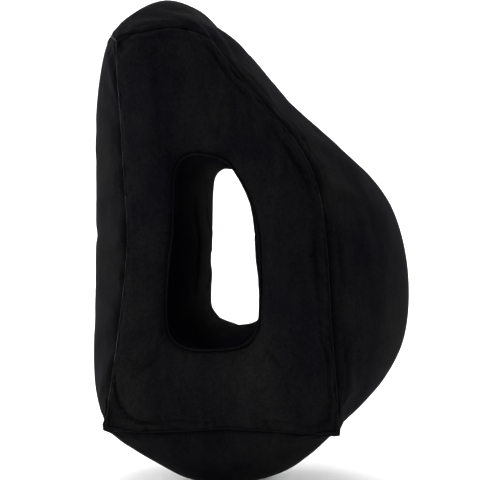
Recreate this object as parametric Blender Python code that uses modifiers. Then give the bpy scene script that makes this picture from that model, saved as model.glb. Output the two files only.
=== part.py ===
"""Flocked inflatable face cradle cushion: a standing wedge with an arm tunnel through its sides.

Frame: +Z up, the cushion stands on its domed base.  +X is the front (sloped brow and belly),
-X the back.  The tunnel runs along Y.  The origin is below the middle of the box, on the floor.
"""
import math

import bmesh
import bpy
import numpy as np
from mathutils import Matrix, Vector

# ---- Driving dimensions, metres ----
HALF_WIDTH = 0.132          # from the middle plane to a side seam, along Y
FILM = 0.0012               # flocked film as a solid, pile included
WEB_FILM = 0.0008           # bare film of the inner webs
FLANGE = 0.0014             # welded double film at a seam
FLANGE_WIDTH = 0.0038       # how far an outer weld flange stands out
RIM_FLANGE_WIDTH = 0.0028   # weld ring round the tunnel mouth
EDGE_GAP = 0.0018           # a strip stops this far short of the side seam
END_GAP = 0.0022            # a strip stops this far short of a cross seam
SEAM_CLEARANCE = 0.0012     # from the seam line to the near edge of its flange
RIM_CLEARANCE = 0.0024      # from a tunnel weld ring to the side panel's inner edge
PANEL_PUFF = 0.18           # side panel's bulge over the width of its ring
MERGE = 0.00001

# Each section of the wall runs between two cross seams.  A row is one place along it:
# seam x, seam z (both sides) and crest x, crest z (middle of the inflated strip).
FRONT = np.array([
    (-0.1165, 0.4585, -0.1475, 0.4815),
    (-0.108, 0.4625, -0.132, 0.4985),
    (-0.090, 0.4655, -0.107, 0.514),
    (-0.063, 0.469, -0.080, 0.5185),
    (-0.043, 0.466, -0.052, 0.508),
    (-0.026, 0.459, -0.031, 0.489),
    (-0.011, 0.4426, -0.003, 0.466),
    (0.0065, 0.4207, 0.022, 0.437),
    (0.034, 0.389, 0.052, 0.4025),
    (0.062, 0.3555, 0.096, 0.3625),
    (0.0785, 0.324, 0.129, 0.3305),
    (0.087, 0.289, 0.154, 0.2945),
    (0.092, 0.245, 0.1683, 0.247),
    (0.095, 0.190, 0.1720, 0.196),
    (0.098, 0.150, 0.1655, 0.151),
    (0.101, 0.115, 0.147, 0.1145),
    (0.102, 0.093, 0.1225, 0.0865),
    (0.102, 0.0735, 0.0975, 0.0625),
])
BASE = np.array([
    (0.102, 0.0735, 0.0975, 0.0625),
    (0.080, 0.0727, 0.076, 0.0395),
    (0.046, 0.074, 0.050, 0.0175),
    (0.012, 0.0753, 0.012, 0.002),
    (-0.014, 0.0755, -0.019, -0.007),
    (-0.053, 0.0725, -0.054, -0.0005),
    (-0.090, 0.071, -0.098, 0.0213),
    (-0.112, 0.072, -0.130, 0.0395),
    (-0.127, 0.0745, -0.153, 0.058),
])
BACK = np.array([
    (-0.127, 0.0745, -0.153, 0.058),
    (-0.1255, 0.095, -0.1635, 0.097),
    (-0.121, 0.125, -0.1668, 0.130),
    (-0.112, 0.190, -0.1668, 0.200),
    (-0.1055, 0.260, -0.1660, 0.268),
    (-0.109, 0.325, -0.1655, 0.340),
    (-0.1125, 0.385, -0.1645, 0.395),
    (-0.116, 0.430, -0.1590, 0.445),
    (-0.1165, 0.4585, -0.1475, 0.4815),
])
SECTIONS = (FRONT, BASE, BACK)

# Tunnel mouth in the side panels: a tall D with a leaning upper front edge.
RIM = np.array([
    (-0.026, 0.345), (-0.042, 0.3455), (-0.0545, 0.337), (-0.059, 0.318), (-0.0605, 0.270),
    (-0.0645, 0.237), (-0.0667, 0.195), (-0.063, 0.167), (-0.046, 0.1545), (-0.018, 0.153),
    (0.007, 0.157), (0.022, 0.170), (0.026, 0.195), (0.025, 0.261), (0.017, 0.299),
    (0.001, 0.329), (-0.010, 0.340),
])
TUNNEL_CENTRE = np.array((-0.020, 0.250))
WAIST_ENDS = 0.009          # how far the sleeve bows into the tunnel at its round ends
WAIST_FLATS = 0.015         # and on its flat sides

# Valley down the slope, where an inner web holds the film back.
VALLEY_DEPTH = 0.013
VALLEY_SPREAD = 0.034
VALLEY_LIFT = 0.18          # the lobes either side stand this much prouder
VALLEY_SPAN = (4.6, 6.2, 8.2, 10.2)   # places along the front section: starts, full, full, ends

BACK_WEB_Y = 0.044          # the two back webs stand this far from the middle plane
BACK_WEB_Z = (0.168, 0.333)
WEB_CLEARANCE = 0.0032

# Valve, low on the left side panel.  Depths are measured outwards from the flange's face.
VALVE_X, VALVE_Z = -0.074, 0.1135
VALVE_FACE_Y = HALF_WIDTH + 0.0116
VALVE_SEGMENTS = 32
VALVE_WELD_R = 0.021
BORE_R = 0.0082
PLUG_R = 0.0080
THROAT_R = 0.0050
HINGE_OUT = 0.0125          # hinge axis above the valve's axis
HINGE_Y = VALVE_FACE_Y + 0.0075

ALONG = 2                   # mesh columns for each row of a section
ACROSS = 8                  # mesh rows across a strip
RING_ROWS = 4
SLEEVE_COLUMNS = 40
SLEEVE_ROWS = 6


# ---- Geometry ----
def along(rows, place):
    """Point on the smooth curve through the rows, place counted in rows."""
    last = len(rows) - 1
    start = min(max(int(math.floor(place)), 0), last - 1)
    f = place - start
    before = rows[start - 1] if start else 2 * rows[0] - rows[1]
    after = rows[start + 2] if start + 2 <= last else 2 * rows[last] - rows[last - 1]
    here, there = rows[start], rows[start + 1]
    return 0.5 * (2 * here + (there - before) * f
                  + (2 * before - 5 * here + 4 * there - after) * f ** 2
                  + (3 * (here - there) + after - before) * f ** 3)


def ramp(value, start, end):
    """0 below start, 1 above end, smooth between."""
    f = min(max((value - start) / (end - start), 0.0), 1.0)
    return f * f * (3 - 2 * f)


def valley_share(section, place):
    if section is not FRONT:
        return 0.0
    starts, full, fades, ends = VALLEY_SPAN
    return ramp(place, starts, full) * (1 - ramp(place, fades, ends))


def wall_point(section, place, y, inset=0.0):
    """Point of the inflated outer wall: an arc across Y from seam to seam through the crest."""
    row = along(section, place)
    seam, crest = row[:2], row[2:]
    rise = np.linalg.norm(crest - seam)
    out = (crest - seam) / rise
    radius = (HALF_WIDTH ** 2 + rise ** 2) / (2 * rise)
    height = math.sqrt(max(radius ** 2 - y ** 2, 0.0)) - (radius - rise)
    share = valley_share(section, place)
    height *= 1 + VALLEY_LIFT * share
    height -= VALLEY_DEPTH * share * math.exp(-(y / VALLEY_SPREAD) ** 2)
    x, z = seam + out * (height - inset)
    return Vector((x, y, max(z, 0.0)))


def seam_loop():
    """Places (section, place) round the side seam, ALONG for each row, corners included once."""
    loop = []
    for section in SECTIONS:
        steps = ALONG * (len(section) - 1)
        loop += [along(section, index / ALONG)[:2] for index in range(steps)]
    return np.array(loop)


SEAM = seam_loop()
COLUMNS = len(SEAM)


def outward_normals(loop):
    """Unit normals of a clockwise closed loop in the XZ plane, averaged at each point."""
    tangent = np.roll(loop, -1, axis=0) - np.roll(loop, 1, axis=0)
    normal = np.column_stack((-tangent[:, 1], tangent[:, 0]))
    return normal / np.linalg.norm(normal, axis=1)[:, None]


SEAM_NORMAL = outward_normals(SEAM)


def rim_samples():
    """The tunnel mouth's closed curve as polar angle and radius about its centre."""
    count = len(RIM)
    wrapped = np.vstack((RIM[-2:], RIM, RIM[:3]))
    points = np.array([along(wrapped, 2 + index / 8) for index in range(count * 8)])
    arm = points - TUNNEL_CENTRE
    angle = np.arctan2(arm[:, 1], arm[:, 0])
    order = np.argsort(angle)
    return angle[order], np.linalg.norm(arm, axis=1)[order]


RIM_ANGLE, RIM_RADIUS = rim_samples()


def rim_point(angle, grow=0.0):
    """Point of the tunnel mouth in a direction from its centre, moved outwards by grow."""
    radius = np.interp(angle, RIM_ANGLE, RIM_RADIUS, period=2 * math.pi)
    return TUNNEL_CENTRE + (radius + grow) * np.array((math.cos(angle), math.sin(angle)))


def sleeve_point(angle, y, grow=0.0):
    """Point of the tunnel sleeve, which the air pushes inwards between its two mouths."""
    bow = WAIST_ENDS + (WAIST_FLATS - WAIST_ENDS) * abs(math.cos(angle))
    x, z = rim_point(angle, grow - bow * (1 - (y / HALF_WIDTH) ** 2))
    return Vector((x, y, z))


# ---- Mesh helpers ----
def new_object(name, mesh, material, collection):
    obj = bpy.data.objects.new(name, mesh)
    collection.objects.link(obj)
    if material:
        mesh.materials.append(material)
    return obj


def bent_sheet(name, columns, rows, place, thickness, material, offset=0.0, closed=False, flip=False):
    """A grid moved to place(u, v), u and v from 0 to 1, and given its thickness."""
    sheet = bmesh.new()
    bmesh.ops.create_grid(sheet, x_segments=columns, y_segments=rows, size=0.5)
    for vertex in sheet.verts:
        vertex.co = place(vertex.co.x + 0.5, vertex.co.y + 0.5)
    if closed:
        bmesh.ops.remove_doubles(sheet, verts=sheet.verts, dist=MERGE)
    if flip:
        bmesh.ops.reverse_faces(sheet, faces=sheet.faces)
    mesh = bpy.data.meshes.new(name)
    sheet.to_mesh(mesh)
    sheet.free()
    mesh.shade_smooth()
    obj = new_object(name, mesh, material, PARTS)
    solid = obj.modifiers.new("Film", "SOLIDIFY")
    solid.thickness = thickness
    solid.offset = offset
    return obj


def turned(name, profile, material, centre, collection=None):
    """A ring or disc turned about Y: profile points are (radius, y), closed on itself."""
    mesh = bpy.data.meshes.new(name)
    shape = bmesh.new()
    corners = [shape.verts.new((radius, y, 0)) for radius, y in profile]
    for first, second in zip(corners, corners[1:] + corners[:1]):
        shape.edges.new((first, second))
    bmesh.ops.spin(shape, geom=shape.verts[:] + shape.edges[:], axis=(0, 1, 0), cent=(0, 0, 0),
                   angle=2 * math.pi, steps=VALVE_SEGMENTS, use_merge=True)
    bmesh.ops.remove_doubles(shape, verts=shape.verts, dist=MERGE)
    bmesh.ops.recalc_face_normals(shape, faces=shape.faces)
    shape.to_mesh(mesh)
    shape.free()
    obj = new_object(name, mesh, material, collection or PARTS)
    obj.location = centre
    return obj


def solid_disc(name, radius, low_y, high_y, material, centre, collection=None):
    """A disc or pin along Y."""
    mesh = bpy.data.meshes.new(name)
    shape = bmesh.new()
    bmesh.ops.create_cone(shape, cap_ends=True, segments=VALVE_SEGMENTS, radius1=radius,
                          radius2=radius, depth=high_y - low_y,
                          matrix=Matrix.Translation((0, (low_y + high_y) / 2, 0))
                          @ Matrix.Rotation(math.pi / 2, 4, "X"))
    shape.to_mesh(mesh)
    shape.free()
    obj = new_object(name, mesh, material, collection or PARTS)
    obj.location = centre
    return obj


def box(name, size, material, centre, bevel=0.0):
    mesh = bpy.data.meshes.new(name)
    shape = bmesh.new()
    bmesh.ops.create_cube(shape, size=1.0, matrix=Matrix.Diagonal((*size, 1)))
    if bevel:
        bmesh.ops.bevel(shape, geom=shape.edges[:], offset=bevel, segments=1, affect="EDGES")
    shape.to_mesh(mesh)
    shape.free()
    obj = new_object(name, mesh, material, PARTS)
    obj.location = centre
    return obj


def as_cutter(obj):
    PARTS.objects.unlink(obj)
    CUTTERS.objects.link(obj)


def boolean(obj, cutter, operation):
    step = obj.modifiers.new(operation.title(), "BOOLEAN")
    step.object = cutter
    step.operation = operation
    step.solver = "EXACT"
    cutter.hide_render = True
    cutter.display_type = "WIRE"


def material(name, colour, roughness, metallic=0.0):
    made = bpy.data.materials.new(name)
    made.use_nodes = True
    surface = made.node_tree.nodes["Principled BSDF"]
    surface.inputs["Base Color"].default_value = (*colour, 1)
    surface.inputs["Roughness"].default_value = roughness
    surface.inputs["Metallic"].default_value = metallic
    return made


# ---- Sub-parts ----
def wall_strip(name, section, colour):
    """One welded strip of the outer wall, from cross seam to cross seam."""
    count = len(section) - 1
    step = 0.01
    first = np.linalg.norm(along(section, step)[2:] - section[0][2:]) / step
    last = np.linalg.norm(along(section, count - step)[2:] - section[-1][2:]) / step
    low, high = END_GAP / first, count - END_GAP / last

    def place(u, v):
        return wall_point(section, low + (high - low) * u, (2 * v - 1) * (HALF_WIDTH - EDGE_GAP))

    return bent_sheet(name, ALONG * count, ACROSS, place, FILM, colour, offset=-1)


def distance_to_seam(point):
    """Shortest way from a point of a side panel to the side seam."""
    edge = np.roll(SEAM, -1, axis=0) - SEAM
    arm = point - SEAM
    share = np.clip((arm * edge).sum(axis=1) / (edge ** 2).sum(axis=1), 0, 1)
    return np.linalg.norm(arm - share[:, None] * edge, axis=1).min()


def ring_place(side, column, share):
    """Point of a side panel: share 0 at the outer seam, 1 at the tunnel mouth."""
    index = round(column * COLUMNS) % COLUMNS
    outer = SEAM[index] - SEAM_NORMAL[index] * SEAM_CLEARANCE
    arm = outer - TUNNEL_CENTRE
    inner = rim_point(math.atan2(arm[1], arm[0]), RIM_FLANGE_WIDTH + RIM_CLEARANCE)
    point = outer + (inner - outer) * share
    to_seam = distance_to_seam(point)
    width = to_seam + np.linalg.norm(inner - point)
    puff = PANEL_PUFF * width * (4 * to_seam * (width - to_seam) / width ** 2) ** 0.75
    return Vector((point[0], side * (HALF_WIDTH + puff), point[1]))


def side_panel(name, side, colour):
    return bent_sheet(name, COLUMNS, RING_ROWS, lambda u, v: ring_place(side, u, v), FILM, colour,
                      closed=True)


def outer_flange(name, side, colour):
    """Weld flange standing out all round a side seam."""
    def place(u, v):
        index = round(u * COLUMNS) % COLUMNS
        x, z = SEAM[index] + SEAM_NORMAL[index] * (SEAM_CLEARANCE + v * FLANGE_WIDTH)
        return Vector((x, side * HALF_WIDTH, z))

    return bent_sheet(name, COLUMNS, 1, place, FLANGE, colour, closed=True)


def rim_flange(name, side, colour):
    """Flat weld ring round a tunnel mouth."""
    def place(u, v):
        x, z = rim_point(2 * math.pi * u, 0.0004 + v * RIM_FLANGE_WIDTH)
        return Vector((x, side * HALF_WIDTH, z))

    return bent_sheet(name, SLEEVE_COLUMNS, 1, place, FLANGE, colour, closed=True)


def corner_flange(name, section, colour):
    """Weld flange along a cross seam, at the start of a section."""
    centre = TUNNEL_CENTRE + np.array((0.0, 0.02))
    out = section[0][2:] - centre
    out = out / np.linalg.norm(out)

    def place(u, v):
        y = (2 * u - 1) * (HALF_WIDTH - 0.0045)
        reach = SEAM_CLEARANCE + 0.0004 + v * FLANGE_WIDTH
        base = wall_point(section, 0, y)
        return base + Vector((out[0], 0, out[1])) * reach

    return bent_sheet(name, ACROSS, 1, place, FLANGE, colour)


def tunnel_sleeve(name, colour):
    def place(u, v):
        return sleeve_point(2 * math.pi * u, (2 * v - 1) * (HALF_WIDTH - EDGE_GAP))

    return bent_sheet(name, SLEEVE_COLUMNS, SLEEVE_ROWS, place, FILM, colour, closed=True)


def back_web(name, y, colour):
    """Vertical film from the tunnel sleeve to the back panel, which keeps the back flat."""
    def sleeve_x(z):
        angles = np.radians(np.arange(120, 241, 2))
        points = [sleeve_point(angle, y, WEB_CLEARANCE) for angle in angles]
        return np.interp(-z, [-point.z for point in points], [point.x for point in points])

    def back_x(z):
        places = np.arange(1, 8, 0.1)
        points = [wall_point(BACK, place, y, FILM + WEB_CLEARANCE) for place in places]
        return np.interp(z, [point.z for point in points], [point.x for point in points])

    def place(u, v):
        z = BACK_WEB_Z[0] + (BACK_WEB_Z[1] - BACK_WEB_Z[0]) * v
        return Vector((back_x(z) + (sleeve_x(z) - back_x(z)) * u, y, z))

    return bent_sheet(name, 3, 8, place, WEB_FILM, colour)


def slope_web(name, colour):
    """Film in the middle plane from the sleeve's top to the slope, which makes the valley."""
    def place(u, v):
        outer = wall_point(FRONT, 6.2 + 2.4 * v, 0.0, FILM + WEB_CLEARANCE)
        inner = sleeve_point(math.radians(82 - 34 * v), 0.0, WEB_CLEARANCE)
        return inner.lerp(outer, u)

    return bent_sheet(name, 3, 6, place, WEB_FILM, colour)


def valve(colours):
    """Two-stage valve: welded base, pull-out plug with its check flap, and a hinged cap."""
    soft, hard, flap_colour = colours
    axis = Vector((VALVE_X, VALVE_FACE_Y, VALVE_Z))
    turned("valve_base", [(VALVE_WELD_R, -0.0014), (VALVE_WELD_R, 0), (0.0122, 0.0006), (0.0120, 0.0048),
                          (BORE_R, 0.0048), (BORE_R, -0.0090), (0.0100, -0.0090), (0.0102, -0.0014)],
           soft, axis)
    plug = turned("valve_plug", [(0.0116, 0.0052), (0.0116, 0.0070), (THROAT_R, 0.0070),
                                 (THROAT_R, -0.0062), (0.0040, -0.0062), (0.0040, -0.0078),
                                 (PLUG_R, -0.0078), (PLUG_R, 0.0052)], hard, axis)
    spider(hard, axis)
    solid_disc("check_flap", 0.0062, -0.0094, -0.0081, flap_colour, axis)
    turned("flap_stem", [(0.0, -0.0078), (0.0008, -0.0078), (0.0008, -0.0007), (0.0016, -0.0007),
                         (0.0016, 0.0001), (0.0, 0.0001)], flap_colour, axis)
    cap_pivot = bpy.data.objects.new("cap_pivot", None)
    PARTS.objects.link(cap_pivot)
    cap_pivot.location = (VALVE_X, HINGE_Y, VALVE_Z + HINGE_OUT)
    cap = turned("valve_cap", [(0.0108, 0.0003), (0.0108, 0.0019), (0.0, 0.0019), (0.0, -0.0036),
                               (0.0043, -0.0036), (0.0048, -0.0006), (0.0048, 0.0003)], hard,
                 (0, 0, -HINGE_OUT))
    cap.parent = cap_pivot
    tab = box("cap_tab", (0.0070, 0.0013, 0.0080), None, (0, 0.0011, -HINGE_OUT - 0.0130))
    tab.parent = cap_pivot
    as_cutter(tab)
    boolean(cap, tab, "UNION")
    box("cap_strap", (0.0062, 0.0015, 0.0026), soft, plug.location + Vector((0, 0.0061, 0.0133)), 0.0003)


def spider(colour, axis):
    """Three-armed guide in the plug's throat, which the flap's stem slides in."""
    hub = turned("stem_guide", [(0.0021, -0.0046), (0.0021, -0.0030), (0.0011, -0.0030), (0.0011, -0.0046)],
                 colour, axis)
    for number in range(3):
        arm = box("guide_arm_%d" % number, (0.0030, 0.0014, 0.0012), None, axis)
        turn = Matrix.Rotation(number * 2 * math.pi / 3, 4, "Y")
        arm.matrix_world = Matrix.Translation(axis) @ turn @ Matrix.Translation((0.0031, -0.0038, 0))
        as_cutter(arm)
        boolean(hub, arm, "UNION")


def cut_valve_hole(panel):
    """Round hole in the left side panel, just wider than the valve's welded disc."""
    drill = solid_disc("valve_drill", VALVE_WELD_R + 0.0006, -0.03, 0.03, None,
                       (VALVE_X, VALVE_FACE_Y, VALVE_Z), CUTTERS)
    boolean(panel, drill, "DIFFERENCE")


def main():
    flock = material("flocked_film", (0.012, 0.012, 0.016), 0.9)
    welded = material("welded_seam", (0.010, 0.010, 0.012), 0.55)
    bare = material("bare_film", (0.04, 0.04, 0.045), 0.5)
    soft = material("soft_vinyl", (0.03, 0.03, 0.033), 0.45)
    hard = material("valve_plastic", (0.05, 0.05, 0.055), 0.35)
    rubber = material("flap_rubber", (0.20, 0.20, 0.20), 0.6)

    wall_strip("front_panel", FRONT, flock)
    wall_strip("base_panel", BASE, flock)
    wall_strip("back_panel", BACK, flock)
    left = side_panel("side_panel_left", 1, flock)
    side_panel("side_panel_right", -1, flock)
    tunnel_sleeve("tunnel_sleeve", flock)
    outer_flange("side_seam_left", 1, welded)
    outer_flange("side_seam_right", -1, welded)
    rim_flange("tunnel_seam_left", 1, welded)
    rim_flange("tunnel_seam_right", -1, welded)
    corner_flange("top_back_seam", FRONT, welded)
    corner_flange("base_front_seam", BASE, welded)
    corner_flange("back_base_seam", BACK, welded)
    back_web("back_web_left", BACK_WEB_Y, bare)
    back_web("back_web_right", -BACK_WEB_Y, bare)
    slope_web("slope_web", bare)
    valve((soft, hard, rubber))
    cut_valve_hole(left)


for old in list(bpy.data.objects):
    bpy.data.objects.remove(old)
PARTS = bpy.data.collections.new("face_cradle_cushion")
CUTTERS = bpy.data.collections.new("cutters")
bpy.context.scene.collection.children.link(PARTS)
bpy.context.scene.collection.children.link(CUTTERS)
main()
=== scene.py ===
"""Looks of the flocked inflatable cushion: inflated film panels, weld seams, valve, light and camera."""
import math

import bmesh
import bpy
import numpy as np
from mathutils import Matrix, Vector
from numpy.linalg import norm


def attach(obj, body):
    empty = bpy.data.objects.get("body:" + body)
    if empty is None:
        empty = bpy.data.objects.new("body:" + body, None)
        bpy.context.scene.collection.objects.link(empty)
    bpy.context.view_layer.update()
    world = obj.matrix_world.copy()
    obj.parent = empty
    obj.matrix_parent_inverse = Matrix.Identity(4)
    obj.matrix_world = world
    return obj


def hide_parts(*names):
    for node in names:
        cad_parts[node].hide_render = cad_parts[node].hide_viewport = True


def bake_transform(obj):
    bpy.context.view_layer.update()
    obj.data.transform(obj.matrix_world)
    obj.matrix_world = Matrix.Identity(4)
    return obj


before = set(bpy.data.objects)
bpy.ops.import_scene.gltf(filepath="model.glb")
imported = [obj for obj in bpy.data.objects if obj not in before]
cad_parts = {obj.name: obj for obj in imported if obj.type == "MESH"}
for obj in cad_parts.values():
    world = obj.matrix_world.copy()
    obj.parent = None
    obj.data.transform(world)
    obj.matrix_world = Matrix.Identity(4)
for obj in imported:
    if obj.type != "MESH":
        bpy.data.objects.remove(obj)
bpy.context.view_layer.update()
scene = bpy.context.scene

# ---- The cushion's own dimensions, metres (the same wall as the CAD model's) ----
HALF_WIDTH = 0.132
FILM = 0.0010
WELD_FILM = 0.0009  # two films pressed together
WEB_LINE_FILM = 0.0006  # the pressed line over an inner web
FLANGE_REACH = 0.0010  # how far a side weld stands out from its seam
EAR_REACH = {"base": 0.0030, "back": 0.0048}  # and more, at the two bottom corners
RIM_REACH = 0.0009  # weld ring round a tunnel mouth
CROSS_REACH = 0.0016  # the low welds between two wall strips

# A row is one place along a strip, in millimetres: seam x, seam z, crest x, crest z.
FRONT = np.array([
    (-116.5, 458.5, -147.5, 481.5), (-108, 462.5, -132, 498.5), (-90, 465.5, -107, 514),
    (-63, 469, -80, 518.5), (-43, 466, -52, 508), (-26, 459, -31, 489),
    (-11, 442.6, -3, 466), (6.5, 420.7, 22, 437), (34, 389, 52, 402.5),
    (62, 355.5, 96, 362.5), (78.5, 324, 129, 330.5), (87, 289, 154, 294.5),
    (92, 245, 168.3, 247), (95, 190, 172, 196), (98, 150, 165.5, 151),
    (101, 115, 147, 114.5), (102, 93, 122.5, 86.5), (102, 73.5, 97.5, 62.5),
]) / 1000
BASE = np.array([
    (102, 73.5, 97.5, 62.5), (80, 72.7, 76, 39.5), (46, 74, 50, 17.5),
    (12, 75.3, 12, 2), (-14, 75.5, -19, -7), (-53, 72.5, -54, -0.5),
    (-90, 71, -98, 21.3), (-112, 72, -130, 39.5), (-127, 74.5, -153, 58),
]) / 1000
BACK = np.array([
    (-127, 74.5, -153, 58), (-125.5, 95, -163.5, 97), (-121, 125, -166.8, 130),
    (-112, 190, -166.8, 200), (-105.5, 260, -166, 268), (-109, 325, -165.5, 340),
    (-112.5, 385, -164.5, 395), (-116, 430, -159, 445), (-116.5, 458.5, -147.5, 481.5),
]) / 1000
# The tunnel mouth's outline, x and z in millimetres.
RIM = np.array([
    (-26, 345), (-42, 345.5), (-54.5, 337), (-59, 318), (-60.5, 270), (-64.5, 237), (-66.7, 195),
    (-63, 167), (-46, 154.5), (-18, 153), (7, 157), (22, 170), (26, 195), (25, 261),
    (17, 299), (1, 329), (-10, 340),
]) / 1000
TUNNEL_CENTRE = np.array((-0.020, 0.250))
WAIST_ENDS = 0.0105  # how far the air bows the tunnel sleeve inwards at its round ends
WAIST_FLATS = 0.016  # and on its flat sides
# The sleeve's extra bow low at the back, and how much less it bows at the top: depth, angle, spread.
HEEL_BOW, HEEL_ANGLE, HEEL_SPREAD = 0.0125, math.radians(236), math.radians(27)
CROWN_EASE, CROWN_ANGLE, CROWN_SPREAD = 0.0045, math.pi / 2, 0.5
WAIST_ROUNDING = 24  # smoothing passes from the mouth's outline to the waist's
VALLEY_DEPTH = 0.015  # valley down the slope, held by an inner web
VALLEY_SPREAD = 0.036
VALLEY_LIFT = 0.22  # how much fuller the lobes beside it are
VALLEY_SPAN = (4.4, 6.0, 8.4, 10.4)  # places along FRONT: it starts, is full, fades, ends
SLOPE_WEB_SPAN = (6.1, 8.6)  # and where the web's weld line runs
WEB_Y = 0.044  # the two back webs, either side of the middle plane
WEB_Z = (0.168, 0.333)  # and their height range
LAP_ANGLE = math.radians(179)  # where the sleeve's film ends overlap
PANEL_PUFF = 0.185  # side panel's bulge over the width of its ring
PANEL_FULLNESS = 0.50  # below 1, the bulge rises steeply at its edges
EDGE_PUFF, EDGE_PEAK = 0.0030, 0.012  # the wall strips' extra rise beside their seams, and where
FLOOR_EASE = 0.0015  # how softly the base levels out on the floor
MOUTH_MARGIN = 0.0032  # flat film round the tunnel mouth, under its weld ring
CORNER_ROUND = (0.016, 0.026, 0.030)  # top back, base front, back base: where the bulge stays low
SMOOTH_FROM = (0.004, 0.010)  # ways from the seam over which the bulge's corners turn round

# ---- Valve, low on the left side panel, where the CAD model has it ----
VALVE_X, VALVE_Z = -0.074, 0.1135
VALVE_FACE_Y = HALF_WIDTH + 0.0116
HINGE_OUT = 0.0125
HINGE_Y = VALVE_FACE_Y + 0.0075

# ---- Mesh spacing ----
COLUMN_STEP = 0.0036  # along the seams
ROW_CROWDING = 0.80 * math.pi / 2  # a strip's rows lie closer together towards its seams
STRIP_ROWS = 74
RING_ROWS = 34
SLEEVE_ROWS = 66
rng = np.random.default_rng(41)


# ---- Curves ----
def along(rows, places):
    """Points on the smooth curve through the rows, places counted in rows."""
    last = len(rows) - 1
    places = np.atleast_1d(np.asarray(places, float))
    start = np.clip(np.floor(places).astype(int), 0, last - 1)
    f = (places - start)[:, None]
    padded = np.vstack((2 * rows[0] - rows[1], rows, 2 * rows[last] - rows[last - 1]))
    before, here, there, after = (padded[start + shift] for shift in range(4))
    return 0.5 * (2 * here + (there - before) * f
                  + (2 * before - 5 * here + 4 * there - after) * f ** 2
                  + (3 * (here - there) + after - before) * f ** 3)


def even_places(rows, step):
    """Places along a section about one step apart, both ends included."""
    fine = np.linspace(0, len(rows) - 1, 40 * (len(rows) - 1) + 1)
    curve = along(rows, fine)
    middle = 0.5 * (curve[:, :2] + curve[:, 2:])
    length = np.concatenate(([0], np.cumsum(norm(np.diff(middle, axis=0), axis=1))))
    count = 2 * max(1, round(length[-1] / step / 2))
    return np.interp(np.linspace(0, length[-1], count + 1), length, fine)


def ramp(value, start, end):
    f = np.clip((value - start) / (end - start), 0, 1)
    return f * f * (3 - 2 * f)


def bead(away, peak):
    """0 at the weld, 1 at the peak distance, then fading."""
    return away / peak * np.exp(1 - away / peak)


def bell(away, width):
    """1 at the middle, fading smoothly over about the width on either side."""
    return np.exp(-(away / width) ** 2)


def plateau(value, starts, full, fades, ends):
    return ramp(value, starts, full) * (1 - ramp(value, fades, ends))


def turn_from(angle, start):
    """The angle counted from start, between -pi and pi."""
    return (angle - start + math.pi) % (2 * math.pi) - math.pi


SECTIONS = {"front": FRONT, "base": BASE, "back": BACK}
PLACES = {name: even_places(rows, COLUMN_STEP) for name, rows in SECTIONS.items()}
SEAM = np.vstack([along(SECTIONS[name], PLACES[name][:-1])[:, :2] for name in SECTIONS])
TANGENT = np.roll(SEAM, -1, axis=0) - np.roll(SEAM, 1, axis=0)
SEAM_NORMAL = np.column_stack((-TANGENT[:, 1], TANGENT[:, 0])) / norm(TANGENT, axis=1)[:, None]


def rim_polar():
    """Angles round the tunnel's centre, rising, and the mouth's radius at each."""
    wrapped = np.vstack((RIM[-2:], RIM, RIM[:3]))
    points = along(wrapped, 2 + np.arange(len(RIM) * 24) / 24)
    arm = points - TUNNEL_CENTRE
    angle = np.arctan2(arm[:, 1], arm[:, 0])
    order = np.argsort(angle)
    return angle[order], norm(arm, axis=1)[order]


RIM_ANGLE, RIM_RADIUS = rim_polar()
ARM = SEAM - TUNNEL_CENTRE
COLUMN_ANGLE = np.arctan2(ARM[:, 1], ARM[:, 0])
RAY = np.column_stack((np.cos(COLUMN_ANGLE), np.sin(COLUMN_ANGLE)))
MOUTH_RADIUS = np.interp(COLUMN_ANGLE, RIM_ANGLE, RIM_RADIUS, period=2 * math.pi)
MOUTH = TUNNEL_CENTRE + RAY * MOUTH_RADIUS[:, None]

COLUMNS = len(SEAM)
FIRST = dict(zip(SECTIONS, np.cumsum([0] + [len(PLACES[name]) - 1 for name in SECTIONS])))
SEAM_STEP = norm(np.roll(SEAM, -1, axis=0) - SEAM, axis=1)
SEAM_AT = np.concatenate(([0], np.cumsum(SEAM_STEP)[:-1]))
SEAM_LENGTH = SEAM_STEP.sum()
ON_BACK = (np.arange(COLUMNS) >= FIRST["back"])[:, None]


# ---- Inflated surfaces, as arrays of points (columns, rows, 3) ----
def strip_surface(name):
    """One wall strip: an arc across Y from seam to seam, through the crest."""
    rows = SECTIONS[name]
    places = PLACES[name]
    curve = along(rows, places)
    seam, crest = curve[:, :2], curve[:, 2:]
    rise = norm(crest - seam, axis=1)
    out = (crest - seam) / rise[:, None]
    radius = (HALF_WIDTH ** 2 + rise ** 2) / (2 * rise)
    y = HALF_WIDTH * np.sin(np.linspace(-1, 1, STRIP_ROWS + 1) * ROW_CROWDING) / math.sin(ROW_CROWDING)
    height = np.sqrt(np.maximum(radius[:, None] ** 2 - y[None] ** 2, 0)) - (radius - rise)[:, None]
    height += EDGE_PUFF * bead(HALF_WIDTH - np.abs(y[None]), EDGE_PEAK)
    if name == "front":
        share = plateau(places, *VALLEY_SPAN)[:, None]
        height = height * (1 + VALLEY_LIFT * share)
        height -= VALLEY_DEPTH * share * bell(y[None], VALLEY_SPREAD)
    point = seam[:, None] + out[:, None] * height[:, :, None]
    z = point[:, :, 1]
    if name == "base":
        z = 0.5 * (z + np.sqrt(z * z + FLOOR_EASE ** 2))
    return np.stack((point[:, :, 0], np.broadcast_to(y[None], z.shape), z), axis=2)


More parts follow.
